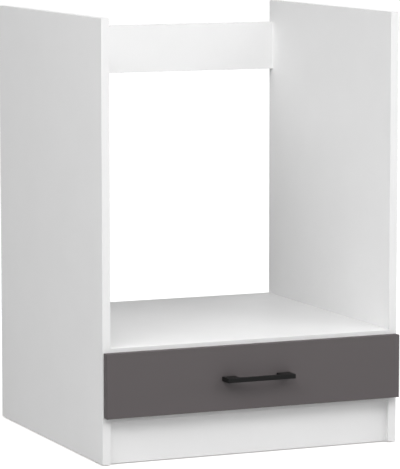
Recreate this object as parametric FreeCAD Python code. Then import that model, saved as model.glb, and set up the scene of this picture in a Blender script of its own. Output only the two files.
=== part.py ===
import FreeCAD, Part
import os

# Oven base cabinet with a drawer under the oven deck, in millimetres.
# +Z is up, the front is towards -Y and the right side towards +X.
# The origin is on the floor, in the middle of the width and of the overall depth.

# Carcass
CABINET_WIDTH = 600.0
CABINET_HEIGHT = 820.0
CARCASS_DEPTH = 548.0
BOARD_THICKNESS = 16.0
HARDBOARD_THICKNESS = 3.0
EDGE_BAND_THICKNESS = 0.8
EDGE_BAND_ROUNDING = 0.6
DECK_TOP_HEIGHT = 218.0
BOTTOM_PANEL_HEIGHT = 80.0
PLINTH_SETBACK = 10.0
RAIL_HEIGHT = 95.0
RAIL_DROP = 44.0
BACK_STRIP_MARGIN = 2.0

# Floor glides pushed into the lower edges of the side panels
GLIDE_THICKNESS = 2.5
GLIDE_RADIUS = 7.0
GLIDE_STEM_RADIUS = 2.5
GLIDE_STEM_LENGTH = 12.0
GLIDE_INSET = 40.0

# Drawer front
FRONT_THICKNESS = 16.0
FRONT_SIDE_REVEAL = 2.0
FRONT_TOP_REVEAL = 8.0
FRONT_BOTTOM_REVEAL = 10.0
FRONT_GAP = 1.0
BUMPER_RADIUS = 4.0
BUMPER_INSET = 12.0

# Drawer box
DRAWER_CLEARANCE = 11.0
DRAWER_TOP_ROUNDING = 1.5
GROOVE_DEPTH = 6.5
GROOVE_PLAY = 0.2
GROOVE_END_PLAY = 0.5
GROOVE_HEIGHT = 10.0
DRAWER_DOWEL_RISE = 27.0
DRAWER_DOWEL_DROP = 12.0

# Handle
HANDLE_LENGTH = 138.0
HANDLE_HEIGHT = 8.5
HANDLE_PROJECTION = 28.0
HANDLE_BAR_DEPTH = 8.0
HANDLE_FOOT_LENGTH = 27.0
HANDLE_HOLE_SPACING = 128.0
HANDLE_HOLE_DEPTH = 10.0
HANDLE_INNER_ROUNDING = 3.0
HANDLE_CORNER_ROUNDING = 1.5
HANDLE_EDGE_ROUNDING = 0.8

# Drawer slides, three members with two rows of balls between each pair
SLIDE_THICKNESS = 12.7
SLIDE_HEIGHT = 45.5
SLIDE_SHEET = 1.2
SLIDE_BEND = 0.9
SLIDE_SETBACK = 3.0
SLIDE_REAR_CLEARANCE = 45.0
SLIDE_END_PLAY = 6.0
SLIDE_LIP = 0.8
SLIDE_WEB_GAP = 0.5
DRAWER_TRAVEL = 480.0
BALL_DIAMETER = 3.2
BALL_PLAY = 0.06
RACE_DEPTH = 0.3
CAGE_SHEET = 0.6
CAGE_SHARE = 0.36
CAGE_MARGIN = 8.0
CAGE_FLANGE_REACH = 2.4
BALLS_PER_ROW = 7
SLIDE_SLOT_WIDTH = 5.0
SLIDE_SLOT_LENGTH = 16.0
STOP_DROP = 4.0
STOP_HEIGHT = 6.0
STOP_WEB_GAP = 1.5
STOP_PLAY = 0.8
SLIDE_BUMPER_LENGTH = 5.0
SLIDE_BUMPER_HALF_HEIGHT = 9.0
SLIDE_BUMPER_REACH = 9.0

# Release levers on the drawer members, lifted at their front ends to let the drawer out
LEVER_ARM_LENGTH = 36.0
LEVER_PIVOT_DISTANCE = 35.0
LEVER_END_RADIUS = 4.5
LEVER_THICKNESS = 2.4
LEVER_PAD_LENGTH = 14.0
LEVER_CATCH_LENGTH = 8.0
LEVER_CATCH_HOLD = 2.5
LEVER_STOP_GAP = 0.5
LEVER_WEB_GAP = 0.3
LEVER_CAGE_GAP = 1.7
LEVER_ROUNDING = 2.0
RIVET_RADIUS = 2.0
RIVET_PLAY = 0.05
RIVET_HEAD_RADIUS = 3.2
RIVET_HEAD_HEIGHT = 0.9

# Cam fittings and dowels
FITTING_PLAY = 0.05
CAM_DISTANCE = 34.0
CAM_RADIUS = 7.5
CAM_LENGTH = 12.5
CAM_PLAY = 0.1
CAM_CHANNEL_RADIUS = 3.6
CAM_CHANNEL_REACH = 4.0
CAM_SLOT_LENGTH = 9.0
CAM_SLOT_WIDTH = 1.4
CAM_SLOT_DEPTH = 1.6
BOLT_HOLE_RADIUS = 4.0
BOLT_THREAD_RADIUS = 3.0
BOLT_THREAD_LENGTH = 11.0
BOLT_COLLAR_RADIUS = 3.9
BOLT_COLLAR_LENGTH = 4.0
BOLT_NECK_RADIUS = 2.2
BOLT_HEAD_RADIUS = 3.3
BOLT_HEAD_LENGTH = 5.0
DOWEL_RADIUS = 4.0
DOWEL_IN_PANEL = 11.5
DOWEL_IN_BOARD = 18.5
DOWEL_CHAMFER = 1.0
HOLE_END_PLAY = 0.5
CAM_INSET = 60.0
DOWEL_SPACING = 32.0

# Screws and nails
SLIDE_SCREW_HEAD_RADIUS = 3.6
SLIDE_SCREW_RADIUS = 1.75
SLIDE_SCREW_LENGTH = 13.0
SCREW_TIP_LENGTH = 2.5
RECESS_DEPTH = 1.1
RECESS_WIDTH = 0.9
BACK_SCREW_HEAD_RADIUS = 5.0
BACK_SCREW_RADIUS = 3.0
BACK_SCREW_LENGTH = 50.0
BACK_SCREW_DROP = 16.0
BACK_DOWEL_RISE = 18.0
BOTTOM_SCREW_HEAD_RADIUS = 3.0
BOTTOM_SCREW_HEAD_HEIGHT = 1.6
BOTTOM_SCREW_RADIUS = 1.5
BOTTOM_SCREW_LENGTH = 18.0
BOTTOM_SCREW_COUNT = 4
HANDLE_SCREW_HEAD_RADIUS = 4.0
HANDLE_SCREW_HEAD_HEIGHT = 2.4
HANDLE_SCREW_RADIUS = 2.0
HANDLE_SCREW_HOLE_PLAY = 0.3
NAIL_HEAD_RADIUS = 2.0
NAIL_HEAD_HEIGHT = 0.8
NAIL_RADIUS = 0.8
NAIL_LENGTH = 22.0
NAILS_PER_ROW = 6

# Where each board lies
TOTAL_DEPTH = HARDBOARD_THICKNESS + CARCASS_DEPTH + FRONT_GAP + FRONT_THICKNESS + HANDLE_PROJECTION
CARCASS_REAR = TOTAL_DEPTH / 2 - HARDBOARD_THICKNESS
CARCASS_FRONT = CARCASS_REAR - CARCASS_DEPTH
FRONT_REAR = CARCASS_FRONT - FRONT_GAP
FRONT_FACE = FRONT_REAR - FRONT_THICKNESS
HANDLE_FACE = FRONT_FACE - HANDLE_PROJECTION
SIDE_OUTER = CABINET_WIDTH / 2
SIDE_INNER = SIDE_OUTER - BOARD_THICKNESS
SIDE_MIDDLE = SIDE_OUTER - BOARD_THICKNESS / 2
DECK_UNDERSIDE = DECK_TOP_HEIGHT - BOARD_THICKNESS
DECK_MIDDLE = DECK_TOP_HEIGHT - BOARD_THICKNESS / 2
BOTTOM_TOP = BOTTOM_PANEL_HEIGHT + BOARD_THICKNESS
BOTTOM_MIDDLE = BOTTOM_PANEL_HEIGHT + BOARD_THICKNESS / 2
RAIL_TOP = CABINET_HEIGHT - RAIL_DROP
RAIL_BOTTOM = RAIL_TOP - RAIL_HEIGHT
RAIL_MIDDLE = (RAIL_TOP + RAIL_BOTTOM) / 2
PLINTH_FRONT = CARCASS_FRONT + PLINTH_SETBACK
PLINTH_REAR = PLINTH_FRONT + BOARD_THICKNESS
FRONT_TOP = DECK_TOP_HEIGHT - FRONT_TOP_REVEAL
FRONT_BOTTOM = BOTTOM_PANEL_HEIGHT + FRONT_BOTTOM_REVEAL
FRONT_MIDDLE = (FRONT_TOP + FRONT_BOTTOM) / 2
FRONT_HALF_WIDTH = SIDE_OUTER - FRONT_SIDE_REVEAL

# Where the slides and the drawer box lie
SLIDE_AXIS = (BOTTOM_TOP + DECK_UNDERSIDE) / 2
SLIDE_FRONT = CARCASS_FRONT + SLIDE_SETBACK
SLIDE_LENGTH = CARCASS_DEPTH - SLIDE_SETBACK - SLIDE_REAR_CLEARANCE
MEMBER_LENGTH = SLIDE_LENGTH - SLIDE_END_PLAY
CAGE_LENGTH = SLIDE_LENGTH * CAGE_SHARE
CAGE_START = (MEMBER_LENGTH - CAGE_LENGTH) / 2
DRAWER_OUTER = SIDE_INNER - SLIDE_THICKNESS
DRAWER_INNER = DRAWER_OUTER - BOARD_THICKNESS
DRAWER_WALL_MIDDLE = (DRAWER_OUTER + DRAWER_INNER) / 2
DRAWER_LOW = BOTTOM_TOP + DRAWER_CLEARANCE
DRAWER_HIGH = DECK_UNDERSIDE - DRAWER_CLEARANCE
DRAWER_REAR = SLIDE_FRONT + MEMBER_LENGTH
DRAWER_LOWER_DOWEL = DRAWER_LOW + DRAWER_DOWEL_RISE
DRAWER_UPPER_DOWEL = DRAWER_HIGH - DRAWER_DOWEL_DROP
DRAWER_CAM_HEIGHT = (DRAWER_LOWER_DOWEL + DRAWER_UPPER_DOWEL) / 2
GROOVE_LOW = DRAWER_LOW + GROOVE_HEIGHT
DRAWER_FLOOR = GROOVE_LOW + HARDBOARD_THICKNESS

# The slide profile, as distances from the cabinet side and as half heights from the slide axis
OUTER_CAGE_WEB = SLIDE_SHEET + SLIDE_WEB_GAP
MIDDLE_WEB = OUTER_CAGE_WEB + CAGE_SHEET + SLIDE_WEB_GAP
INNER_CAGE_WEB = MIDDLE_WEB + SLIDE_SHEET + SLIDE_WEB_GAP
DRAWER_FLANGE_TIP = INNER_CAGE_WEB + CAGE_SHEET + SLIDE_WEB_GAP
DRAWER_WEB = SLIDE_THICKNESS - SLIDE_SHEET
FLANGE_TIP = DRAWER_WEB - SLIDE_WEB_GAP
BALL_LINE = (SLIDE_THICKNESS + SLIDE_SHEET) / 2
RACE_GAP = BALL_DIAMETER + 2 * BALL_PLAY - 2 * RACE_DEPTH
CABINET_HALF = SLIDE_HEIGHT / 2
MIDDLE_HALF = CABINET_HALF - SLIDE_SHEET - RACE_GAP
DRAWER_HALF = MIDDLE_HALF - SLIDE_SHEET - RACE_GAP
OUTER_BALL_ROW = MIDDLE_HALF + RACE_GAP / 2
INNER_BALL_ROW = DRAWER_HALF + RACE_GAP / 2
LEVER_FACE = DRAWER_WEB - LEVER_WEB_GAP
LEVER_OUTER_FACE = LEVER_FACE - LEVER_THICKNESS
LEVER_PAD_FACE = INNER_CAGE_WEB + CAGE_SHEET + LEVER_CAGE_GAP
LEVER_CATCH = DRAWER_TRAVEL / 2 + SLIDE_SHEET + STOP_PLAY
LEVER_FRONT = LEVER_CATCH - LEVER_ARM_LENGTH
LEVER_PIVOT = LEVER_CATCH + LEVER_PIVOT_DISTANCE
CABINET_SCREW_SHARES = (0.08, 0.45, 0.9)
DRAWER_SCREW_SHARES = (0.15, 0.36, 0.88)
CABINET_SLOT_SHARES = (0.2, 0.32, 0.62, 0.76)
DRAWER_SLOT_SHARES = (0.08, 0.27, 0.72, 0.8)

LEFT = -1
RIGHT = 1
SIDE_NAMES = {LEFT: "left", RIGHT: "right"}


def vec(x, y, z):
    return FreeCAD.Vector(x, y, z)


ORIGIN = vec(0, 0, 0)
ALONG_X = vec(1, 0, 0)
ALONG_Y = vec(0, 1, 0)
ALONG_Z = vec(0, 0, 1)


def block(x0, x1, y0, y1, z0, z1):
    low = vec(min(x0, x1), min(y0, y1), min(z0, z1))
    return Part.makeBox(abs(x1 - x0), abs(y1 - y0), abs(z1 - z0), low)


def rod(radius, start, direction, length):
    return Part.makeCylinder(radius, length, start, direction)


def mirrored(shape):
    """The left-hand copy of a right-hand piece."""
    return shape.mirror(ORIGIN, ALONG_X)


def for_side(shape, side):
    return shape if side == RIGHT else mirrored(shape)


def save(name, shapes):
    whole = shapes[0] if len(shapes) == 1 else Part.makeCompound(shapes)
    whole.exportStep(os.path.join("parts", name + ".step"))


def place(shape, point, along, normal):
    """Turn a fitting drawn along +X with its face towards +Z, and put its origin at the point."""
    turned = shape.copy()
    rotation = FreeCAD.Rotation(along, normal.cross(along), normal, "XZY")
    turned.Placement = FreeCAD.Placement(point, rotation)
    return turned


def copies(screw, places):
    """One copy of a screw or nail at each place, given as its seat and the way it points."""
    placed = []
    for point, way in places:
        normal = ALONG_Y if abs(way.z) > 0.5 else ALONG_Z
        placed.append(place(screw, point, way, normal))
    return placed


def round_long_edges(shape, radius, axis, value):
    """Round the longest edges that lie at one coordinate of an axis."""
    longest = max(edge.Length for edge in shape.Edges)
    chosen = []
    for edge in shape.Edges:
        if edge.Length > 0.9 * longest and abs(getattr(edge.CenterOfMass, axis) - value) < 0.001:
            chosen.append(edge)
    return shape.makeFillet(radius, chosen)


# Fittings, drawn along +X: the board's end is at x = 0 and the panel it meets is at x < 0


def cam_lock():
    face = BOARD_THICKNESS / 2
    body = rod(CAM_RADIUS, vec(CAM_DISTANCE, 0, face - CAM_LENGTH), ALONG_Z, CAM_LENGTH)
    channel_end = vec(CAM_DISTANCE + CAM_CHANNEL_REACH, 0, 0)
    channel = rod(CAM_CHANNEL_RADIUS, channel_end, -ALONG_X, CAM_CHANNEL_REACH + 2 * CAM_RADIUS)
    long = CAM_SLOT_LENGTH / 2
    wide = CAM_SLOT_WIDTH / 2
    floor = face - CAM_SLOT_DEPTH
    top = face + 1
    slot = block(CAM_DISTANCE - long, CAM_DISTANCE + long, -wide, wide, floor, top)
    cross = block(CAM_DISTANCE - wide, CAM_DISTANCE + wide, -long, long, floor, top)
    return body.cut([channel, slot, cross])


def cam_bolt():
    thread = rod(BOLT_THREAD_RADIUS, vec(-BOLT_THREAD_LENGTH, 0, 0), ALONG_X, BOLT_THREAD_LENGTH)
    collar = rod(BOLT_COLLAR_RADIUS, ORIGIN, ALONG_X, BOLT_COLLAR_LENGTH)
    neck = rod(BOLT_NECK_RADIUS, ORIGIN, ALONG_X, CAM_DISTANCE)
    head_start = vec(CAM_DISTANCE - BOLT_HEAD_LENGTH / 2, 0, 0)
    head = rod(BOLT_HEAD_RADIUS, head_start, ALONG_X, BOLT_HEAD_LENGTH)
    return thread.fuse([collar, neck, head]).removeSplitter()


def cam_board_cut():
    face = BOARD_THICKNESS / 2
    bore = rod(BOLT_HOLE_RADIUS, vec(-1, 0, 0), ALONG_X, CAM_DISTANCE + 1)
    pocket_depth = CAM_LENGTH + CAM_PLAY
    pocket = rod(CAM_RADIUS + CAM_PLAY, vec(CAM_DISTANCE, 0, face + 1), -ALONG_Z, pocket_depth + 1)
    return bore.fuse(pocket)


def cam_panel_cut():
    length = BOLT_THREAD_LENGTH + HOLE_END_PLAY
    return rod(BOLT_THREAD_RADIUS + FITTING_PLAY, vec(-length, 0, 0), ALONG_X, length + 1)


def dowel():
    length = DOWEL_IN_PANEL + DOWEL_IN_BOARD
    plain = rod(DOWEL_RADIUS, vec(-DOWEL_IN_PANEL, 0, 0), ALONG_X, length)
    rims = [edge for edge in plain.Edges if edge.Closed and edge.Length < 2.1 * 3.1416 * DOWEL_RADIUS]
    return plain.makeChamfer(DOWEL_CHAMFER, rims)


def dowel_cut():
    start = vec(-DOWEL_IN_PANEL - HOLE_END_PLAY, 0, 0)
    length = DOWEL_IN_PANEL + DOWEL_IN_BOARD + 2 * HOLE_END_PLAY
    return rod(DOWEL_RADIUS + FITTING_PLAY, start, ALONG_X, length)


# Screws and nails, drawn along +X with the head's seat at x = 0


def cross_recess(face, reach):
    half_width = RECESS_WIDTH / 2
    upright = block(face - 1, face + RECESS_DEPTH, -half_width, half_width, -reach, reach)
    level = block(face - 1, face + RECESS_DEPTH, -reach, reach, -half_width, half_width)
    return upright.fuse(level)


def countersunk_body(head_radius, shank_radius, length):
    head_length = head_radius - shank_radius
    tip_start = length - SCREW_TIP_LENGTH
    head = Part.makeCone(head_radius, shank_radius, head_length, ORIGIN, ALONG_X)
    shank = rod(shank_radius, ORIGIN, ALONG_X, tip_start)
    tip = Part.makeCone(shank_radius, shank_radius / 4, SCREW_TIP_LENGTH, vec(tip_start, 0, 0), ALONG_X)
    return head.fuse([shank, tip]).removeSplitter()


def countersunk_screw(head_radius, shank_radius, length):
    body = countersunk_body(head_radius, shank_radius, length)
    return body.cut(cross_recess(0, head_radius * 0.55))


def countersunk_cut(head_radius, shank_radius, length):
    play = FITTING_PLAY
    body = countersunk_body(head_radius + play, shank_radius + play, length + HOLE_END_PLAY)
    return body.fuse(rod(head_radius + play, vec(-1, 0, 0), ALONG_X, 1))


def pan_screw(head_radius, head_height, shank_radius, length):
    head = rod(head_radius, vec(-head_height, 0, 0), ALONG_X, head_height)
    rim = [edge for edge in head.Edges if edge.Closed and edge.CenterOfMass.x < -head_height / 2]
    head = head.makeFillet(head_height * 0.6, rim)
    shank = rod(shank_radius, ORIGIN, ALONG_X, length)
    return head.fuse(shank).cut(cross_recess(-head_height, head_radius * 0.55))


def nail(play=0.0):
    head = rod(NAIL_HEAD_RADIUS + play, ORIGIN, ALONG_X, NAIL_HEAD_HEIGHT)
    shank = rod(NAIL_RADIUS + play, ORIGIN, ALONG_X, NAIL_LENGTH + play)
    return head.fuse(shank)


# Where the fittings sit: a point on the board's end, the way into the board, and the face the cam opens on


def board_end_joints():
    """Cam and dowel places of the carcass boards, each with its board and side."""
    cams = []
    dowels = []
    for side in (LEFT, RIGHT):
        end = side * SIDE_INNER
        inward = vec(-side, 0, 0)
        for board, level in (("oven_deck", DECK_MIDDLE), ("bottom_panel", BOTTOM_MIDDLE)):
            for edge, step in ((CARCASS_FRONT, 1), (CARCASS_REAR, -1)):
                cam_y = edge + step * CAM_INSET
                dowel_y = cam_y + step * DOWEL_SPACING
                cams.append((board, side, vec(end, cam_y, level), inward, -ALONG_Z))
                dowels.append((board, side, vec(end, dowel_y, level), inward, -ALONG_Z))
        rail_y = CARCASS_REAR - BOARD_THICKNESS / 2
        cams.append(("rear_rail", side, vec(end, rail_y, RAIL_MIDDLE), inward, ALONG_Y))
        for step in (-1, 1):
            dowel_z = RAIL_MIDDLE + step * RAIL_HEIGHT / 3
            dowels.append(("rear_rail", side, vec(end, rail_y, dowel_z), inward, ALONG_Y))
        plinth_y = (PLINTH_FRONT + PLINTH_REAR) / 2
        cam_z = GLIDE_THICKNESS + 0.68 * (BOTTOM_PANEL_HEIGHT - GLIDE_THICKNESS)
        dowel_z = GLIDE_THICKNESS + 0.28 * (BOTTOM_PANEL_HEIGHT - GLIDE_THICKNESS)
        cams.append(("plinth_board", side, vec(end, plinth_y, cam_z), inward, ALONG_Y))
        dowels.append(("plinth_board", side, vec(end, plinth_y, dowel_z), inward, ALONG_Y))
    return cams, dowels


def drawer_joints():
    """Cam and dowel places between the drawer sides and the front, and dowels of the drawer back."""
    cams = []
    dowels = []
    back_dowels = []
    for side in (LEFT, RIGHT):
        wall = side * DRAWER_WALL_MIDDLE
        inner = vec(-side, 0, 0)
        cams.append((side, vec(wall, FRONT_REAR, DRAWER_CAM_HEIGHT), ALONG_Y, inner))
        for height in (DRAWER_LOWER_DOWEL, DRAWER_UPPER_DOWEL):
            dowels.append((side, vec(wall, FRONT_REAR, height), ALONG_Y, inner))
        back_y = DRAWER_REAR - BOARD_THICKNESS / 2
        back_point = vec(side * DRAWER_INNER, back_y, DRAWER_FLOOR + BACK_DOWEL_RISE)
        back_dowels.append((side, back_point, inner, ALONG_Y))
    return cams, dowels, back_dowels


def glide_points():
    points = []
    for side in (LEFT, RIGHT):
        for y in (CARCASS_FRONT + GLIDE_INSET, CARCASS_REAR - GLIDE_INSET):
            points.append((side, vec(side * SIDE_MIDDLE, y, 0)))
    return points


def nail_points():
    """Nails through the back strip into the bottom panel, the deck and the side panels."""
    points = []
    reach = SIDE_INNER - 2 * BOARD_THICKNESS
    for column in range(NAILS_PER_ROW):
        x = -reach + column * 2 * reach / (NAILS_PER_ROW - 1)
        points.append(("bottom_panel", vec(x, CARCASS_REAR + HARDBOARD_THICKNESS, BOTTOM_MIDDLE)))
        points.append(("oven_deck", vec(x, CARCASS_REAR + HARDBOARD_THICKNESS, DECK_MIDDLE)))
    for side in (LEFT, RIGHT):
        for share in (0.3, 0.7):
            z = BOTTOM_TOP + share * (DECK_UNDERSIDE - BOTTOM_TOP)
            point = vec(side * SIDE_MIDDLE, CARCASS_REAR + HARDBOARD_THICKNESS, z)
            points.append((SIDE_NAMES[side], point))
    return points


def slide_screw_points():
    """Screws of the slides: seat, direction and side, first for the cabinet and then for the drawer."""
    cabinet = []
    drawer = []
    for side in (LEFT, RIGHT):
        for share in CABINET_SCREW_SHARES:
            y = SLIDE_FRONT + share * SLIDE_LENGTH
            cabinet.append((side, vec(side * (SIDE_INNER - SLIDE_SHEET), y, SLIDE_AXIS), vec(side, 0, 0)))
        for share in DRAWER_SCREW_SHARES:
            y = SLIDE_FRONT + share * MEMBER_LENGTH
            drawer.append((side, vec(side * (SIDE_INNER - DRAWER_WEB), y, SLIDE_AXIS), vec(-side, 0, 0)))
    return cabinet, drawer


def back_screw_points():
    points = []
    for side in (LEFT, RIGHT):
        y = DRAWER_REAR - BOARD_THICKNESS / 2
        points.append((side, vec(side * DRAWER_OUTER, y, DRAWER_HIGH - BACK_SCREW_DROP), vec(-side, 0, 0)))
    return points


def bottom_screw_points():
    points = []
    reach = 0.8 * DRAWER_INNER
    for number in range(BOTTOM_SCREW_COUNT):
        x = -reach + number * 2 * reach / (BOTTOM_SCREW_COUNT - 1)
        points.append(vec(x, DRAWER_REAR - BOARD_THICKNESS / 2, GROOVE_LOW))
    return points


def handle_screw_points():
    return [vec(side * HANDLE_HOLE_SPACING / 2, FRONT_REAR, FRONT_MIDDLE) for side in (LEFT, RIGHT)]


# Carcass boards


def carcass_board_cuts(board, cams, dowels):
    cuts = [place(cam_board_cut(), *where) for name, _, *where in cams if name == board]
    cuts += [place(dowel_cut(), *where) for name, _, *where in dowels if name == board]
    for name, point in nail_points():
        if name == board:
            cuts.append(place(nail(FITTING_PLAY), point, -ALONG_Y, ALONG_Z))
    return cuts


def side_panel(side, cams, dowels):
    core = block(
        side * SIDE_INNER, side * SIDE_OUTER,
        CARCASS_FRONT + EDGE_BAND_THICKNESS, CARCASS_REAR,
        GLIDE_THICKNESS, CABINET_HEIGHT - EDGE_BAND_THICKNESS,
    )
    cuts = [place(cam_panel_cut(), *where) for _, at, *where in cams if at == side]
    cuts += [place(dowel_cut(), *where) for _, at, *where in dowels if at == side]
    for name, point in nail_points():
        if name == SIDE_NAMES[side]:
            cuts.append(place(nail(FITTING_PLAY), point, -ALONG_Y, ALONG_Z))
    for at, point, direction in slide_screw_points()[0]:
        if at == side:
            cuts.append(place(slide_screw_cut(), point, direction, ALONG_Z))
    for at, point in glide_points():
        if at == side:
            length = GLIDE_THICKNESS + GLIDE_STEM_LENGTH + HOLE_END_PLAY
            cuts.append(rod(GLIDE_STEM_RADIUS + FITTING_PLAY, point, ALONG_Z, length))
    return core.cut(cuts)


def side_panel_bands(side):
    inner = side * SIDE_INNER
    outer = side * SIDE_OUTER
    seat = CARCASS_FRONT + EDGE_BAND_THICKNESS
    front = block(inner, outer, CARCASS_FRONT, seat, GLIDE_THICKNESS, CABINET_HEIGHT)
    front = round_long_edges(front, EDGE_BAND_ROUNDING, "y", CARCASS_FRONT)
    top = block(inner, outer, seat, CARCASS_REAR, CABINET_HEIGHT - EDGE_BAND_THICKNESS, CABINET_HEIGHT)
    top = round_long_edges(top, EDGE_BAND_ROUNDING, "z", CABINET_HEIGHT)
    return front, top


def level_board(underside, cuts):
    """A board between the side panels, over the full depth behind its front edge band."""
    seat = CARCASS_FRONT + EDGE_BAND_THICKNESS
    core = block(-SIDE_INNER, SIDE_INNER, seat, CARCASS_REAR, underside, underside + BOARD_THICKNESS)
    return core.cut(cuts)


def level_band(underside):
    seat = CARCASS_FRONT + EDGE_BAND_THICKNESS
    band = block(-SIDE_INNER, SIDE_INNER, CARCASS_FRONT, seat, underside, underside + BOARD_THICKNESS)
    return round_long_edges(band, EDGE_BAND_ROUNDING, "y", CARCASS_FRONT)


def rear_rail(cuts):
    front = CARCASS_REAR - BOARD_THICKNESS
    low = RAIL_BOTTOM + EDGE_BAND_THICKNESS
    high = RAIL_TOP - EDGE_BAND_THICKNESS
    return block(-SIDE_INNER, SIDE_INNER, front, CARCASS_REAR, low, high).cut(cuts)


def rail_bands():
    front = CARCASS_REAR - BOARD_THICKNESS
    low_seat = RAIL_BOTTOM + EDGE_BAND_THICKNESS
    high_seat = RAIL_TOP - EDGE_BAND_THICKNESS
    lower = block(-SIDE_INNER, SIDE_INNER, front, CARCASS_REAR, RAIL_BOTTOM, low_seat)
    upper = block(-SIDE_INNER, SIDE_INNER, front, CARCASS_REAR, high_seat, RAIL_TOP)
    lower = round_long_edges(lower, EDGE_BAND_ROUNDING, "z", RAIL_BOTTOM)
    upper = round_long_edges(upper, EDGE_BAND_ROUNDING, "z", RAIL_TOP)
    return lower, upper


def plinth_board(cuts):
    return block(
        -SIDE_INNER, SIDE_INNER, PLINTH_FRONT, PLINTH_REAR, GLIDE_THICKNESS, BOTTOM_PANEL_HEIGHT
    ).cut(cuts)


def back_strip():
    half_width = SIDE_OUTER - BACK_STRIP_MARGIN
    low = BOTTOM_PANEL_HEIGHT + BACK_STRIP_MARGIN
    high = DECK_TOP_HEIGHT - BACK_STRIP_MARGIN
    rear = CARCASS_REAR + HARDBOARD_THICKNESS
    cuts = [place(nail(FITTING_PLAY), point, -ALONG_Y, ALONG_Z) for _, point in nail_points()]
    return block(-half_width, half_width, CARCASS_REAR, rear, low, high).cut(cuts)


def floor_glide(point):
    foot = rod(GLIDE_RADIUS, point, ALONG_Z, GLIDE_THICKNESS)
    rim = [edge for edge in foot.Edges if edge.Closed and edge.CenterOfMass.z < GLIDE_THICKNESS / 2]
    foot = foot.makeFillet(GLIDE_THICKNESS / 4, rim)
    return foot.fuse(rod(GLIDE_STEM_RADIUS, point, ALONG_Z, GLIDE_THICKNESS + GLIDE_STEM_LENGTH))


# Drawer slides, drawn on the right-hand side and mirrored for the left


def slide_block(depth0, depth1, along0, along1, rise0, rise1):
    """A block given by distances from the cabinet side, from the slide's front end and from its axis."""
    return block(
        SIDE_INNER - depth0, SIDE_INNER - depth1,
        SLIDE_FRONT + along0, SLIDE_FRONT + along1,
        SLIDE_AXIS + rise0, SLIDE_AXIS + rise1,
    )


def channel(web, flange_end, half_height, length):
    """A sheet channel: a web at one depth and two flanges that reach to another."""
    far = web + SLIDE_SHEET
    shape = slide_block(web, far, 0, length, -half_height, half_height)
    inner = half_height - SLIDE_SHEET
    for low, high in ((inner, half_height), (-half_height, -inner)):
        shape = shape.fuse(slide_block(min(web, flange_end), max(far, flange_end), 0, length, low, high))
    return shape.removeSplitter()


def round_bends(shape, depth, half_height):
    """Round the two outer bends between a web and its flanges."""
    chosen = []
    for edge in shape.Edges:
        middle = edge.CenterOfMass
        on_web = abs(middle.x - (SIDE_INNER - depth)) < 0.001
        on_flange = abs(abs(middle.z - SLIDE_AXIS) - half_height) < 0.001
        if on_web and on_flange and edge.Length > SLIDE_HEIGHT:
            chosen.append(edge)
    return shape.makeFillet(SLIDE_BEND, chosen)


def race_cuts(row, length):
    """Two grooves in which a pair of ball rows runs."""
    radius = BALL_DIAMETER / 2 + BALL_PLAY
    x = SIDE_INNER - BALL_LINE
    cuts = []
    for rise in (-row, row):
        cuts.append(rod(radius, vec(x, SLIDE_FRONT - 1, SLIDE_AXIS + rise), ALONG_Y, length + 2))
    return cuts


def slot_cuts(web, length, shares):
    """Long mounting slots through a web."""
    cuts = []
    half = SLIDE_SLOT_WIDTH / 2
    straight = SLIDE_SLOT_LENGTH - SLIDE_SLOT_WIDTH
    for share in shares:
        start = share * length
        cut = slide_block(web - 1, web + SLIDE_SHEET + 1, start, start + straight, -half, half)
        for along in (start, start + straight):
            centre = vec(SIDE_INNER - web + 1, SLIDE_FRONT + along, SLIDE_AXIS)
            cut = cut.fuse(rod(half, centre, -ALONG_X, SLIDE_SHEET + 2))
        cuts.append(cut)
    return cuts


def slide_screw():
    return countersunk_screw(SLIDE_SCREW_HEAD_RADIUS, SLIDE_SCREW_RADIUS, SLIDE_SCREW_LENGTH)


def slide_screw_cut():
    return countersunk_cut(SLIDE_SCREW_HEAD_RADIUS, SLIDE_SCREW_RADIUS, SLIDE_SCREW_LENGTH)


def cabinet_member():
    shape = channel(0, FLANGE_TIP, CABINET_HALF, SLIDE_LENGTH)
    inner = CABINET_HALF - SLIDE_SHEET
    for low, high in ((inner - SLIDE_LIP, inner), (-inner, SLIDE_LIP - inner)):
        shape = shape.fuse(slide_block(FLANGE_TIP - SLIDE_LIP, FLANGE_TIP, 0, SLIDE_LENGTH, low, high))
    shape = round_bends(shape.removeSplitter(), 0, CABINET_HALF)
    cuts = race_cuts(OUTER_BALL_ROW, SLIDE_LENGTH) + slot_cuts(0, SLIDE_LENGTH, CABINET_SLOT_SHARES)
    for side, point, direction in slide_screw_points()[0]:
        if side == RIGHT:
            cuts.append(place(slide_screw_cut(), point, direction, ALONG_Z))
    return shape.cut(cuts)


def middle_member():
    tip = FLANGE_TIP - SLIDE_LIP
    shape = round_bends(channel(MIDDLE_WEB, tip, MIDDLE_HALF, MEMBER_LENGTH), MIDDLE_WEB, MIDDLE_HALF)
    web_face = MIDDLE_WEB + SLIDE_SHEET
    stop_tip = DRAWER_WEB - STOP_WEB_GAP
    stop = slide_block(web_face, stop_tip, 0, SLIDE_SHEET, -STOP_DROP - STOP_HEIGHT, -STOP_DROP)
    shape = shape.fuse(stop).removeSplitter()
    return shape.cut(race_cuts(OUTER_BALL_ROW, MEMBER_LENGTH) + race_cuts(INNER_BALL_ROW, MEMBER_LENGTH))


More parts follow.
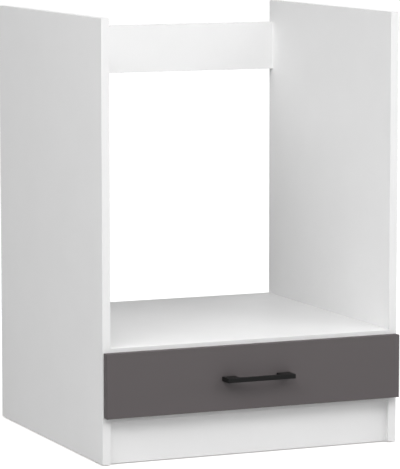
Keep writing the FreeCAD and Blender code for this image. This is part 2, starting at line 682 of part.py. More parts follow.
def drawer_member():
    shape = channel(DRAWER_WEB, DRAWER_FLANGE_TIP, DRAWER_HALF, MEMBER_LENGTH)
    shape = round_bends(shape, SLIDE_THICKNESS, DRAWER_HALF)
    cuts = race_cuts(INNER_BALL_ROW, MEMBER_LENGTH)
    cuts += slot_cuts(DRAWER_WEB, MEMBER_LENGTH, DRAWER_SLOT_SHARES)
    for side, point, direction in slide_screw_points()[1]:
        if side == RIGHT:
            cuts.append(place(slide_screw_cut(), point, direction, ALONG_Z))
    pivot = vec(SIDE_INNER - DRAWER_WEB + 1, SLIDE_FRONT + LEVER_PIVOT, SLIDE_AXIS)
    cuts.append(rod(RIVET_RADIUS + FITTING_PLAY, pivot, -ALONG_X, SLIDE_SHEET + 2))
    return shape.cut(cuts)


def ball_centres(row):
    pitch = (CAGE_LENGTH - 2 * CAGE_MARGIN) / (BALLS_PER_ROW - 1)
    centres = []
    for rise in (-row, row):
        for number in range(BALLS_PER_ROW):
            y = SLIDE_FRONT + CAGE_START + CAGE_MARGIN + number * pitch
            centres.append(vec(SIDE_INNER - BALL_LINE, y, SLIDE_AXIS + rise))
    return centres


def ball_cage(web, row):
    end = CAGE_START + CAGE_LENGTH
    half = CAGE_SHEET / 2
    shape = slide_block(web, web + CAGE_SHEET, CAGE_START, end, -row - half, row + half)
    tip = BALL_LINE + CAGE_FLANGE_REACH
    for rise in (-row, row):
        shape = shape.fuse(slide_block(web, tip, CAGE_START, end, rise - half, rise + half))
    holes = []
    reach = BALL_DIAMETER / 2 + BALL_PLAY
    for centre in ball_centres(row):
        holes.append(rod(reach, centre - ALONG_Z * reach, ALONG_Z, 2 * reach))
    return shape.removeSplitter().cut(holes)


def balls(row):
    return Part.makeCompound([Part.makeSphere(BALL_DIAMETER / 2, centre) for centre in ball_centres(row)])


def slide_bumper():
    start = SLIDE_LENGTH - SLIDE_BUMPER_LENGTH
    half = SLIDE_BUMPER_HALF_HEIGHT
    return slide_block(SLIDE_SHEET, SLIDE_BUMPER_REACH, start, SLIDE_LENGTH, -half, half)


def release_lever():
    """An arm with a finger pad, a catch for the middle member's stop and a rivet hole in its rear end."""
    arm_low = LEVER_STOP_GAP - STOP_DROP
    catch_low = -STOP_DROP - LEVER_CATCH_HOLD
    catch_end = LEVER_CATCH + LEVER_CATCH_LENGTH
    top = LEVER_END_RADIUS
    outline = (
        (LEVER_FRONT, arm_low), (LEVER_CATCH, arm_low), (LEVER_CATCH, catch_low), (catch_end, catch_low),
        (LEVER_PIVOT, -top), (LEVER_PIVOT, top), (LEVER_FRONT, top),
    )
    x = SIDE_INNER - LEVER_OUTER_FACE
    corners = [vec(x, SLIDE_FRONT + along, SLIDE_AXIS + rise) for along, rise in outline]
    plate = Part.Face(Part.makePolygon(corners + corners[:1])).extrude(-ALONG_X * LEVER_THICKNESS)
    end = rod(LEVER_END_RADIUS, lever_pivot(LEVER_OUTER_FACE), -ALONG_X, LEVER_THICKNESS)
    pad_end = LEVER_FRONT + LEVER_PAD_LENGTH
    pad = slide_block(LEVER_PAD_FACE, LEVER_OUTER_FACE, LEVER_FRONT, pad_end, arm_low, top)
    catch = slide_block(LEVER_PAD_FACE, LEVER_OUTER_FACE, LEVER_CATCH, catch_end, catch_low, top)
    shape = plate.fuse([end, pad, catch]).removeSplitter()
    across = [edge for edge in shape.Edges if abs(edge.tangentAt(edge.FirstParameter).x) > 0.99]
    front = SLIDE_FRONT + LEVER_FRONT
    front_corners = [edge for edge in across if abs(edge.CenterOfMass.y - front) < 0.001]
    shape = shape.makeFillet(LEVER_ROUNDING, front_corners)
    hole = rod(RIVET_RADIUS + RIVET_PLAY, lever_pivot(0), -ALONG_X, SLIDE_THICKNESS)
    return shape.cut(hole)


def lever_pivot(depth):
    return vec(SIDE_INNER - depth, SLIDE_FRONT + LEVER_PIVOT, SLIDE_AXIS)


def lever_rivet():
    head_seat = LEVER_OUTER_FACE - RIVET_PLAY
    shank = rod(RIVET_RADIUS, lever_pivot(head_seat), -ALONG_X, SLIDE_THICKNESS - head_seat)
    head = rod(RIVET_HEAD_RADIUS, lever_pivot(head_seat), ALONG_X, RIVET_HEAD_HEIGHT)
    return shank.fuse(head)


# Drawer


def drawer_front(cams, dowels):
    band = EDGE_BAND_THICKNESS
    core = block(
        band - FRONT_HALF_WIDTH, FRONT_HALF_WIDTH - band, FRONT_FACE, FRONT_REAR,
        FRONT_BOTTOM + band, FRONT_TOP - band,
    )
    cuts = [place(cam_panel_cut(), *where) for _, *where in cams]
    cuts += [place(dowel_cut(), *where) for _, *where in dowels]
    groove_half = DRAWER_INNER + GROOVE_DEPTH
    groove_floor = FRONT_REAR - GROOVE_DEPTH
    groove_top = DRAWER_FLOOR + GROOVE_PLAY
    cuts.append(block(-groove_half, groove_half, groove_floor, FRONT_REAR + 1, GROOVE_LOW, groove_top))
    for point in handle_screw_points():
        radius = HANDLE_SCREW_RADIUS + HANDLE_SCREW_HOLE_PLAY
        cuts.append(rod(radius, point + ALONG_Y, -ALONG_Y, FRONT_THICKNESS + 2))
    return core.cut(cuts)


def drawer_front_bands():
    band = EDGE_BAND_THICKNESS
    half = FRONT_HALF_WIDTH
    strips = []
    for seat, face in ((FRONT_BOTTOM + band, FRONT_BOTTOM), (FRONT_TOP - band, FRONT_TOP)):
        strip = block(-half, half, FRONT_FACE, FRONT_REAR, seat, face)
        strips.append(round_long_edges(strip, EDGE_BAND_ROUNDING, "z", face))
    for side in (LEFT, RIGHT):
        strip = block(
            side * (half - band), side * half, FRONT_FACE, FRONT_REAR, FRONT_BOTTOM + band, FRONT_TOP - band
        )
        strips.append(round_long_edges(strip, EDGE_BAND_ROUNDING, "x", side * half))
    return strips


def drawer_side(side, cams, dowels, back_dowels):
    wall = block(
        side * DRAWER_INNER, side * DRAWER_OUTER, FRONT_REAR, DRAWER_REAR, DRAWER_LOW, DRAWER_HIGH
    )
    wall = round_long_edges(wall, DRAWER_TOP_ROUNDING, "z", DRAWER_HIGH)
    groove_top = DRAWER_FLOOR + GROOVE_PLAY
    groove_floor = side * (DRAWER_INNER + GROOVE_DEPTH)
    mouth = side * (DRAWER_INNER - 1)
    cuts = [block(mouth, groove_floor, FRONT_REAR - 1, DRAWER_REAR + 1, GROOVE_LOW, groove_top)]
    cuts += [place(cam_board_cut(), *where) for at, *where in cams if at == side]
    cuts += [place(dowel_cut(), *where) for at, *where in dowels + back_dowels if at == side]
    for at, point, direction in slide_screw_points()[1]:
        if at == side:
            cuts.append(place(slide_screw_cut(), point, direction, ALONG_Z))
    for at, point, direction in back_screw_points():
        if at == side:
            cuts.append(place(back_screw_cut(), point, direction, ALONG_Z))
    return wall.cut(cuts)


def back_screw():
    return countersunk_screw(BACK_SCREW_HEAD_RADIUS, BACK_SCREW_RADIUS, BACK_SCREW_LENGTH)


def back_screw_cut():
    return countersunk_cut(BACK_SCREW_HEAD_RADIUS, BACK_SCREW_RADIUS, BACK_SCREW_LENGTH)


def bottom_screw_cuts():
    """Holes that run from the underside of the drawer bottom up into the drawer back."""
    radius = BOTTOM_SCREW_RADIUS + FITTING_PLAY
    length = BOTTOM_SCREW_LENGTH + HOLE_END_PLAY + 1
    return [rod(radius, point - ALONG_Z, ALONG_Z, length) for point in bottom_screw_points()]


def drawer_back(back_dowels):
    front = DRAWER_REAR - BOARD_THICKNESS
    wall = block(-DRAWER_INNER, DRAWER_INNER, front, DRAWER_REAR, DRAWER_FLOOR, DRAWER_HIGH)
    wall = round_long_edges(wall, DRAWER_TOP_ROUNDING, "z", DRAWER_HIGH)
    cuts = [place(dowel_cut(), *where) for _, *where in back_dowels]
    cuts += [place(back_screw_cut(), point, way, ALONG_Z) for _, point, way in back_screw_points()]
    return wall.cut(cuts + bottom_screw_cuts())


def drawer_bottom():
    reach = GROOVE_DEPTH - GROOVE_END_PLAY
    half = DRAWER_INNER + reach
    sheet = block(-half, half, FRONT_REAR - reach, DRAWER_REAR, GROOVE_LOW, DRAWER_FLOOR)
    return sheet.cut(bottom_screw_cuts())


def upright_edges_at(shape, y):
    chosen = []
    for edge in shape.Edges:
        upright = abs(edge.tangentAt(edge.FirstParameter).z) > 0.99
        if upright and abs(edge.CenterOfMass.y - y) < 0.001:
            chosen.append(edge)
    return chosen


def handle():
    half = HANDLE_LENGTH / 2
    low = FRONT_MIDDLE - HANDLE_HEIGHT / 2
    high = FRONT_MIDDLE + HANDLE_HEIGHT / 2
    gap_half = half - HANDLE_FOOT_LENGTH
    gap_front = HANDLE_FACE + HANDLE_BAR_DEPTH
    whole = block(-half, half, HANDLE_FACE, FRONT_FACE, low, high)
    shape = whole.cut(block(-gap_half, gap_half, gap_front, FRONT_FACE + 1, low - 1, high + 1))
    shape = shape.makeFillet(HANDLE_INNER_ROUNDING, upright_edges_at(shape, gap_front))
    shape = shape.makeFillet(HANDLE_CORNER_ROUNDING, upright_edges_at(shape, HANDLE_FACE))
    rims = []
    for edge in shape.Edges:
        on_rim = min(abs(edge.CenterOfMass.z - low), abs(edge.CenterOfMass.z - high)) < 0.001
        if on_rim and edge.CenterOfMass.y < FRONT_FACE - 0.001:
            rims.append(edge)
    shape = shape.makeFillet(HANDLE_EDGE_ROUNDING, rims)
    holes = []
    for point in handle_screw_points():
        start = vec(point.x, FRONT_FACE + 1, point.z)
        holes.append(rod(HANDLE_SCREW_RADIUS + FITTING_PLAY, start, -ALONG_Y, HANDLE_HOLE_DEPTH + 1))
    return shape.cut(holes)


def handle_screw():
    length = FRONT_THICKNESS + HANDLE_HOLE_DEPTH - HOLE_END_PLAY
    return pan_screw(HANDLE_SCREW_HEAD_RADIUS, HANDLE_SCREW_HEAD_HEIGHT, HANDLE_SCREW_RADIUS, length)


def bottom_screw():
    return pan_screw(
        BOTTOM_SCREW_HEAD_RADIUS, BOTTOM_SCREW_HEAD_HEIGHT, BOTTOM_SCREW_RADIUS, BOTTOM_SCREW_LENGTH
    )


def front_bumpers():
    pads = []
    for side in (LEFT, RIGHT):
        for z in (FRONT_BOTTOM + BUMPER_INSET, FRONT_TOP - BUMPER_INSET):
            pads.append(rod(BUMPER_RADIUS, vec(side * SIDE_MIDDLE, FRONT_REAR, z), ALONG_Y, FRONT_GAP))
    return pads


def save_carcass():
    cams, dowels = board_end_joints()
    for side in (LEFT, RIGHT):
        save("side_panel_" + SIDE_NAMES[side], [side_panel(side, cams, dowels)])
        front, top = side_panel_bands(side)
        save("side_front_band_" + SIDE_NAMES[side], [front])
        save("side_top_band_" + SIDE_NAMES[side], [top])
    for name, band, underside in (
        ("oven_deck", "deck_front_band", DECK_UNDERSIDE),
        ("bottom_panel", "bottom_front_band", BOTTOM_PANEL_HEIGHT),
    ):
        save(name, [level_board(underside, carcass_board_cuts(name, cams, dowels))])
        save(band, [level_band(underside)])
    save("rear_rail", [rear_rail(carcass_board_cuts("rear_rail", cams, dowels))])
    save("rail_edge_bands", list(rail_bands()))
    save("plinth_board", [plinth_board(carcass_board_cuts("plinth_board", cams, dowels))])
    save("back_strip", [back_strip()])
    save("back_strip_nails", copies(nail(), [(point, -ALONG_Y) for _, point in nail_points()]))
    save("floor_glides", [floor_glide(point) for _, point in glide_points()])
    save("carcass_cam_locks", [place(cam_lock(), *where) for _, _, *where in cams])
    save("carcass_cam_bolts", [place(cam_bolt(), *where) for _, _, *where in cams])
    save("carcass_dowels", [place(dowel(), *where) for _, _, *where in dowels])


def save_slides():
    cabinet_screws, drawer_screws = slide_screw_points()
    for side in (LEFT, RIGHT):
        name = SIDE_NAMES[side]
        save("slide_cabinet_member_" + name, [for_side(cabinet_member(), side)])
        save("slide_middle_member_" + name, [for_side(middle_member(), side)])
        save("slide_drawer_member_" + name, [for_side(drawer_member(), side)])
        save("outer_ball_cage_" + name, [for_side(ball_cage(OUTER_CAGE_WEB, OUTER_BALL_ROW), side)])
        save("inner_ball_cage_" + name, [for_side(ball_cage(INNER_CAGE_WEB, INNER_BALL_ROW), side)])
        save("outer_balls_" + name, [for_side(balls(OUTER_BALL_ROW), side)])
        save("inner_balls_" + name, [for_side(balls(INNER_BALL_ROW), side)])
        save("release_lever_" + name, [for_side(release_lever(), side)])
    save("slide_end_bumpers", [for_side(slide_bumper(), side) for side in (LEFT, RIGHT)])
    save("lever_rivets", [for_side(lever_rivet(), side) for side in (LEFT, RIGHT)])
    save("cabinet_slide_screws", copies(slide_screw(), [where for _, *where in cabinet_screws]))
    save("drawer_slide_screws", copies(slide_screw(), [where for _, *where in drawer_screws]))


def save_drawer():
    cams, dowels, back_dowels = drawer_joints()
    save("drawer_front", [drawer_front(cams, dowels)])
    save("drawer_front_bands", drawer_front_bands())
    for side in (LEFT, RIGHT):
        save("drawer_side_" + SIDE_NAMES[side], [drawer_side(side, cams, dowels, back_dowels)])
    save("drawer_back", [drawer_back(back_dowels)])
    save("drawer_bottom", [drawer_bottom()])
    save("drawer_cam_locks", [place(cam_lock(), *where) for _, *where in cams])
    save("drawer_cam_bolts", [place(cam_bolt(), *where) for _, *where in cams])
    save("drawer_dowels", [place(dowel(), *where) for _, *where in dowels + back_dowels])
    save("drawer_back_screws", copies(back_screw(), [where for _, *where in back_screw_points()]))
    upward = [(point, ALONG_Z) for point in bottom_screw_points()]
    save("drawer_bottom_screws", copies(bottom_screw(), upward))
    save("handle", [handle()])
    save("handle_screws", copies(handle_screw(), [(point, -ALONG_Y) for point in handle_screw_points()]))
    save("front_bumpers", front_bumpers())


os.makedirs("parts", exist_ok=True)
save_carcass()
save_slides()
save_drawer()
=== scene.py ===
import math

import bpy
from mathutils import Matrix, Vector


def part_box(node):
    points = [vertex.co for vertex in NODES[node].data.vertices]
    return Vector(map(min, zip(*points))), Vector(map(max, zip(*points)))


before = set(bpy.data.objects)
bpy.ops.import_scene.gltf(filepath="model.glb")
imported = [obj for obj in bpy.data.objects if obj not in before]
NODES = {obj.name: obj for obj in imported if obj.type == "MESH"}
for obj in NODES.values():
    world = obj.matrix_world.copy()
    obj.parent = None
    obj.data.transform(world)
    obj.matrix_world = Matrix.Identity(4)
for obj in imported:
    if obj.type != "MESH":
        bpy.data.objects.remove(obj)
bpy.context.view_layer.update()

# Lengths are in metres, apart from the sizes and depths of the textures' features, in millimetres
X_AXIS, Y_AXIS, Z_AXIS = 0, 1, 2
MILLIMETRES_PER_METRE = 1000.0
PLAIN_WHITE = (1.0, 1.0, 1.0, 1.0)

# Camera, fitted to the cabinet's corners in the photograph's frame, which is higher than it is wide
IMAGE_HEIGHT = 469
FOCAL_PIXELS = 3029.0
SENSOR_WIDTH = 36.0
CAMERA_PLACE = (-2.292, -5.333, 1.098)
CAMERA_YAW = math.radians(23.28)
CAMERA_PITCH = math.radians(7.0)
CAMERA_REACH = 300.0

# Soft studio lights: name, place, point it faces, width, height and watts
CABINET_MIDDLE = (0.0, 0.0, 0.4)
DECK_FRONT = (0.0, -0.2, 0.2)
OPEN_REAR = (0.0, 0.3, 0.5)
LIGHTS = [
    ("front_light", (0.0, -4.2, 3.2), CABINET_MIDDLE, 3.0, 2.4, 22.0),
    ("front_right_light", (2.6, -2.6, 1.8), CABINET_MIDDLE, 1.8, 1.8, 18.0),
    ("high_left_light", (-2.2, -3.4, 3.2), CABINET_MIDDLE, 2.0, 2.0, 61.0),
    ("high_right_light", (2.2, -3.2, 3.2), CABINET_MIDDLE, 2.0, 2.0, 39.0),
    ("top_light", (0.0, -1.8, 3.4), DECK_FRONT, 3.0, 2.4, 22.0),
    ("left_light", (-3.2, -1.5, 3.2), CABINET_MIDDLE, 2.6, 2.6, 85.0),
    ("right_light", (4.4, -1.0, 0.75), CABINET_MIDDLE, 2.6, 1.2, 63.0),
    ("rear_light", (1.4, 12.0, 0.5), OPEN_REAR, 1.8, 0.8, 600.0),
]

# Even light of the room on the cabinet, and the white that is seen behind it
AMBIENT = 0.1
BACKDROP_WHITE = 1.0

# Floor: half its side, its grey, its glow near the cabinet and between which distances that grows to white
FLOOR_HALF = 60.0
FLOOR_GREY = 0.55
FLOOR_GLOW = 0.9
FLOOR_NEAR = 0.9
FLOOR_FAR = 2.2

# Painted contact shadow: close to what stands on the floor, its glow falls to this share within this
# distance
CONTACT_SHADE = 0.4
CONTACT_REACH = 0.04

# Values between which most of a noise texture lies
TEXTURE_LOW, TEXTURE_HIGH = 0.3, 0.7

# How much a texture is drawn out along each axis
DRAWN_OUT = 60.0
EVEN = (1.0, 1.0, 1.0)
ALONG_X = (DRAWN_OUT, 1.0, 1.0)
ALONG_Y = (1.0, DRAWN_OUT, 1.0)
ALONG_Z = (1.0, 1.0, DRAWN_OUT)
SHEET_PATCH_STRETCH = (1.0, 2.5, 1.0)
CHIP_STRETCH = (1.6, 1.6, 0.7)
CHIP_FIBRE_STRETCH = (2.5, 2.5, 0.8)
HARDBOARD_FIBRE_STRETCH = (3.0, 1.0, 1.0)
WOOD_GRAIN_STRETCH = (9.0, 9.0, 1.0)

# Colours of the surfaces, from dark to pale where a material has several
WHITE = (0.865, 0.865, 0.865)
PAINT_WHITE = (0.7785, 0.7785, 0.7785)
GRAPHITE = (0.098, 0.087, 0.089)
HANDLE_BLACK = (0.0085, 0.0085, 0.0085)
PLASTIC_BLACK = (0.020, 0.020, 0.021)
PLASTIC_WHITE = (0.78, 0.78, 0.76)
PAD_GREY = (0.70, 0.71, 0.70)
ZINC = (0.43, 0.44, 0.46)
CAGE_STEEL = (0.55, 0.55, 0.55)
CAST_ZINC = (0.42, 0.42, 0.44)
SCREW_STEEL = (0.58, 0.59, 0.60)
BALL_STEEL = (0.74, 0.74, 0.75)
CHIP_COLOURS = [(0.30, 0.18, 0.09), (0.44, 0.30, 0.17), (0.56, 0.40, 0.24), (0.66, 0.51, 0.33)]
HARDBOARD_COLOURS = [(0.17, 0.085, 0.038), (0.25, 0.135, 0.065), (0.33, 0.19, 0.10)]
BEECH_COLOURS = [(0.40, 0.22, 0.11), (0.58, 0.37, 0.21), (0.66, 0.46, 0.28)]

# Limits, as lengths and parts of a normal, that tell a board's faces and rounded top from its edges
SQUARE_TO_AXIS = 0.9
SURFACE_TOLERANCE = 1e-5
TOP_RISE = 0.05
ROUNDED_TOP_DEPTH = 0.002

# Material slots of a board
HIGH_FACE_SLOT, EDGE_SLOT, LOW_FACE_SLOT = 0, 1, 2


def make_camera():
    data = bpy.data.cameras.new("camera")
    data.sensor_width = SENSOR_WIDTH
    data.lens = FOCAL_PIXELS * SENSOR_WIDTH / IMAGE_HEIGHT
    data.clip_end = CAMERA_REACH
    camera = bpy.data.objects.new("camera", data)
    level = math.cos(CAMERA_PITCH)
    forward = Vector((
        math.sin(CAMERA_YAW) * level,
        math.cos(CAMERA_YAW) * level,
        -math.sin(CAMERA_PITCH),
    ))
    camera.location = CAMERA_PLACE
    camera.rotation_euler = forward.to_track_quat("-Z", "Y").to_euler()
    bpy.context.scene.collection.objects.link(camera)
    bpy.context.scene.camera = camera


def make_lights():
    for name, place, target, width, height, watts in LIGHTS:
        data = bpy.data.lights.new(name, "AREA")
        data.shape = "RECTANGLE"
        data.size = width
        data.size_y = height
        data.energy = watts
        lamp = bpy.data.objects.new(name, data)
        lamp.location = place
        aim = Vector(target) - Vector(place)
        lamp.rotation_euler = aim.to_track_quat("-Z", "Y").to_euler()
        lamp.visible_camera = False
        bpy.context.scene.collection.objects.link(lamp)


def seen_directly(nodes, links):
    """1 for the rays that should see a white backdrop: camera, glossy and transmission rays."""
    path = nodes.new("ShaderNodeLightPath")
    seen = path.outputs["Is Camera Ray"]
    for kind in ("Is Glossy Ray", "Is Transmission Ray"):
        either = nodes.new("ShaderNodeMath")
        either.operation = "MAXIMUM"
        links.new(seen, either.inputs[0])
        links.new(path.outputs[kind], either.inputs[1])
        seen = either.outputs[0]
    return seen


def mixed(nodes, links, share, first, second):
    """Two shaders mixed by a share, which is 0 for the first alone and 1 for the second alone."""
    mix = nodes.new("ShaderNodeMixShader")
    links.new(share, mix.inputs[0])
    links.new(first.outputs[0], mix.inputs[1])
    links.new(second.outputs[0], mix.inputs[2])
    return mix


def even_background(nodes, strength):
    background = nodes.new("ShaderNodeBackground")
    background.inputs["Color"].default_value = PLAIN_WHITE
    background.inputs["Strength"].default_value = strength
    return background


def make_world():
    world = bpy.data.worlds.new("studio")
    bpy.context.scene.world = world
    world.use_nodes = True
    nodes, links = world.node_tree.nodes, world.node_tree.links
    nodes.clear()
    room = even_background(nodes, AMBIENT)
    backdrop = even_background(nodes, BACKDROP_WHITE)
    shown = mixed(nodes, links, seen_directly(nodes, links), room, backdrop)
    out = nodes.new("ShaderNodeOutputWorld")
    links.new(shown.outputs[0], out.inputs["Surface"])


def floor_glow(nodes, links):
    """White far from the cabinet, less near it so that its shadow shows, and with a painted contact shadow
    at its feet.
    """
    place = nodes.new("ShaderNodeNewGeometry")
    distance = nodes.new("ShaderNodeVectorMath")
    distance.operation = "LENGTH"
    links.new(place.outputs["Position"], distance.inputs[0])
    level = nodes.new("ShaderNodeMapRange")
    level.inputs["From Min"].default_value = FLOOR_NEAR
    level.inputs["From Max"].default_value = FLOOR_FAR
    level.inputs["To Min"].default_value = FLOOR_GLOW
    level.inputs["To Max"].default_value = BACKDROP_WHITE
    links.new(distance.outputs["Value"], level.inputs["Value"])
    # Painted contact shadow: ambient occlusion lowers the glow where the floor meets the cabinet
    contact = nodes.new("ShaderNodeAmbientOcclusion")
    contact.inputs["Distance"].default_value = CONTACT_REACH
    painted_contact_shade = nodes.new("ShaderNodeMapRange")
    painted_contact_shade.inputs["To Min"].default_value = CONTACT_SHADE
    painted_contact_shade.inputs["To Max"].default_value = 1.0
    links.new(contact.outputs["AO"], painted_contact_shade.inputs["Value"])
    product = nodes.new("ShaderNodeMath")
    product.operation = "MULTIPLY"
    links.new(level.outputs["Result"], product.inputs[0])
    links.new(painted_contact_shade.outputs["Result"], product.inputs[1])
    return product.outputs[0]


def floor_material():
    """Matt floor that glows white where it is seen directly, and can be looked through from below."""
    material = bpy.data.materials.new("studio_floor")
    material.use_nodes = True
    nodes, links = material.node_tree.nodes, material.node_tree.links
    nodes.clear()
    matt = nodes.new("ShaderNodeBsdfDiffuse")
    matt.inputs["Color"].default_value = (FLOOR_GREY, FLOOR_GREY, FLOOR_GREY, 1.0)
    glow = nodes.new("ShaderNodeEmission")
    links.new(floor_glow(nodes, links), glow.inputs["Strength"])
    bright = nodes.new("ShaderNodeAddShader")
    links.new(matt.outputs[0], bright.inputs[0])
    links.new(glow.outputs[0], bright.inputs[1])
    shown = mixed(nodes, links, seen_directly(nodes, links), matt, bright)
    side = nodes.new("ShaderNodeNewGeometry")
    clear = nodes.new("ShaderNodeBsdfTransparent")
    one_sided = mixed(nodes, links, side.outputs["Backfacing"], shown, clear)
    out = nodes.new("ShaderNodeOutputMaterial")
    links.new(one_sided.outputs[0], out.inputs["Surface"])
    return material


def make_floor():
    half = FLOOR_HALF
    mesh = bpy.data.meshes.new("floor")
    corners = [(-half, -half, 0.0), (half, -half, 0.0), (half, half, 0.0), (-half, half, 0.0)]
    mesh.from_pydata(corners, [], [(0, 1, 2, 3)])
    floor = bpy.data.objects.new("floor", mesh)
    bpy.context.scene.collection.objects.link(floor)
    mesh.materials.append(floor_material())


class Finish:
    """A procedural material: textures in millimetres of the object's own frame, led to one shader."""

    def __init__(self, name, metallic=0.0, specular=0.5):
        self.material = bpy.data.materials.new(name)
        self.material.use_nodes = True
        tree = self.material.node_tree
        self.nodes, self.links = tree.nodes, tree.links
        self.nodes.clear()
        self.shader = self.nodes.new("ShaderNodeBsdfPrincipled")
        self.shader.inputs["Metallic"].default_value = metallic
        self.shader.inputs["Specular IOR Level"].default_value = specular
        out = self.nodes.new("ShaderNodeOutputMaterial")
        self.links.new(self.shader.outputs[0], out.inputs["Surface"])
        self.place = self.nodes.new("ShaderNodeTexCoord").outputs["Object"]
        self.relief = None

    def coordinates(self, stretch):
        """Object coordinates in millimetres, divided along each axis by stretch."""
        mapping = self.nodes.new("ShaderNodeMapping")
        mapping.inputs["Scale"].default_value = [MILLIMETRES_PER_METRE / s for s in stretch]
        self.links.new(self.place, mapping.inputs["Vector"])
        return mapping.outputs[0]

    def noise(self, feature, stretch=EVEN, detail=2.0, rough=0.5):
        texture = self.nodes.new("ShaderNodeTexNoise")
        texture.inputs["Scale"].default_value = 1.0 / feature
        texture.inputs["Detail"].default_value = detail
        texture.inputs["Roughness"].default_value = rough
        self.links.new(self.coordinates(stretch), texture.inputs["Vector"])
        return texture.outputs["Fac"]

    def cells(self, feature, stretch=EVEN):
        """Cells with a colour each, and the distance of every point from its cell's middle."""
        texture = self.nodes.new("ShaderNodeTexVoronoi")
        texture.inputs["Scale"].default_value = 1.0 / feature
        self.links.new(self.coordinates(stretch), texture.inputs["Vector"])
        return texture.outputs["Color"], texture.outputs["Distance"]

    def grey(self, colour):
        node = self.nodes.new("ShaderNodeRGBToBW")
        self.links.new(colour, node.inputs[0])
        return node.outputs[0]

    def spread(self, value, low, high):
        """A texture's middle values spread over low to high."""
        node = self.nodes.new("ShaderNodeMapRange")
        node.inputs["From Min"].default_value = TEXTURE_LOW
        node.inputs["From Max"].default_value = TEXTURE_HIGH
        node.inputs["To Min"].default_value = low
        node.inputs["To Max"].default_value = high
        self.links.new(value, node.inputs["Value"])
        return node.outputs["Result"]

    def blend(self, first, second, share):
        """Two textures added up to 1: the first up to its share, the second up to the rest."""
        node = self.nodes.new("ShaderNodeMath")
        node.operation = "ADD"
        self.links.new(self.spread(first, 0.0, share), node.inputs[0])
        self.links.new(self.spread(second, 0.0, 1.0 - share), node.inputs[1])
        return node.outputs[0]

    def colour(self, value, stops, start=TEXTURE_LOW, end=TEXTURE_HIGH):
        """Base colour from a texture, through colours evenly spaced from start to end."""
        ramp = self.nodes.new("ShaderNodeValToRGB")
        count = len(stops)
        while len(ramp.color_ramp.elements) < count:
            ramp.color_ramp.elements.new(0.5)
        for index, stop in enumerate(stops):
            element = ramp.color_ramp.elements[index]
            element.position = start + (end - start) * index / (count - 1)
            element.color = (*stop, 1.0)
        self.links.new(value, ramp.inputs["Fac"])
        self.links.new(ramp.outputs["Color"], self.shader.inputs["Base Color"])

    def roughness(self, value, middle, swing):
        """Roughness that a texture moves about a middle value by up to the swing."""
        uneven = self.spread(value, middle - swing, middle + swing)
        self.links.new(uneven, self.shader.inputs["Roughness"])

    def bump(self, value, depth):
        """Relief of a depth in millimetres, added to the relief already there."""
        node = self.nodes.new("ShaderNodeBump")
        node.inputs["Strength"].default_value = 1.0
        node.inputs["Distance"].default_value = depth / MILLIMETRES_PER_METRE
        self.links.new(value, node.inputs["Height"])
        if self.relief is not None:
            self.links.new(self.relief, node.inputs["Normal"])
        self.relief = node.outputs["Normal"]
        self.links.new(self.relief, self.shader.inputs["Normal"])


def shades(colour, *factors):
    """A colour made darker or paler by each factor."""
    return [tuple(channel * factor for channel in colour) for factor in factors]


def laminate(name, colour, roughness, pore=0.9, relief=0.006, specular=0.5):
    """Melamine or foil on board: an even colour with faint clouds, fine pores and an uneven sheen."""
    finish = Finish(name, specular=specular)
    clouds = finish.noise(feature=90.0, detail=3.0)
    pores = finish.noise(feature=pore, detail=3.0, rough=0.6)
    waves = finish.noise(feature=9.0, detail=1.0)
    both = finish.blend(clouds, pores, share=0.6)
    finish.colour(both, shades(colour, 0.985, 1.01), start=0.0, end=1.0)
    finish.roughness(pores, roughness, swing=0.05)
    wave_depth = 0.8 * relief
    finish.bump(pores, relief)
    finish.bump(waves, wave_depth)
    return finish.material


def edge_band(name, colour, roughness, stretch, specular=0.3):
    """Plastic edge banding, with faint lines drawn out along one axis."""
    finish = Finish(name, specular=specular)
    lines = finish.noise(feature=0.5, stretch=stretch, detail=3.0)
    finish.colour(lines, shades(colour, 0.975, 1.01))
    finish.roughness(lines, roughness, swing=0.06)
    finish.bump(lines, depth=0.004)
    return finish.material


def chipboard(name):
    """Raw board edge: pressed chips with pores between them."""
    finish = Finish(name, specular=0.25)
    chips, hollows = finish.cells(feature=2.6, stretch=CHIP_STRETCH)
    fibres = finish.noise(feature=0.7, stretch=CHIP_FIBRE_STRETCH, detail=4.0)
    finish.colour(finish.grey(chips), CHIP_COLOURS, start=0.15, end=0.85)
    finish.roughness(fibres, middle=0.85, swing=0.1)
    finish.bump(hollows, depth=0.12)
    finish.bump(fibres, depth=0.08)
    return finish.material


def hardboard(name):
    """Raw side of thin fibreboard: matted fibres and a faint wire-mesh print."""
    finish = Finish(name, specular=0.3)
    fibres = finish.noise(feature=1.4, stretch=HARDBOARD_FIBRE_STRETCH, detail=5.0, rough=0.65)
    patches = finish.noise(feature=35.0)
    _, mesh_print = finish.cells(feature=1.8)
    both = finish.blend(fibres, patches, share=0.7)
    finish.colour(both, HARDBOARD_COLOURS, start=0.05, end=0.95)
    finish.roughness(fibres, middle=0.725, swing=0.125)
    finish.bump(fibres, depth=0.05)
    finish.bump(mesh_print, depth=0.03)
    return finish.material


def powder_coat(name, colour, roughness):
    """Baked powder paint: a fine orange-peel skin."""
    finish = Finish(name, specular=0.1)
    peel = finish.noise(feature=0.55)
    finish.colour(peel, shades(colour, 0.85, 1.15))
    finish.roughness(peel, roughness, swing=0.07)
    finish.bump(peel, depth=0.012)
    return finish.material


def rolled_metal(name, colour, roughness, stretch=EVEN, feature=0.35, relief=0.003):
    """Plated or bright metal, with fine lines or specks and faint cloudy patches."""
    finish = Finish(name, metallic=1.0)
    lines = finish.noise(feature, stretch, detail=3.0)
    patches = finish.noise(feature=16.0, stretch=SHEET_PATCH_STRETCH)
    both = finish.blend(lines, patches, share=0.5)
    finish.colour(both, shades(colour, 0.88, 1.0, 1.06), start=0.0, end=1.0)
    finish.roughness(lines, roughness, swing=0.08)
    finish.bump(lines, relief)
    return finish.material


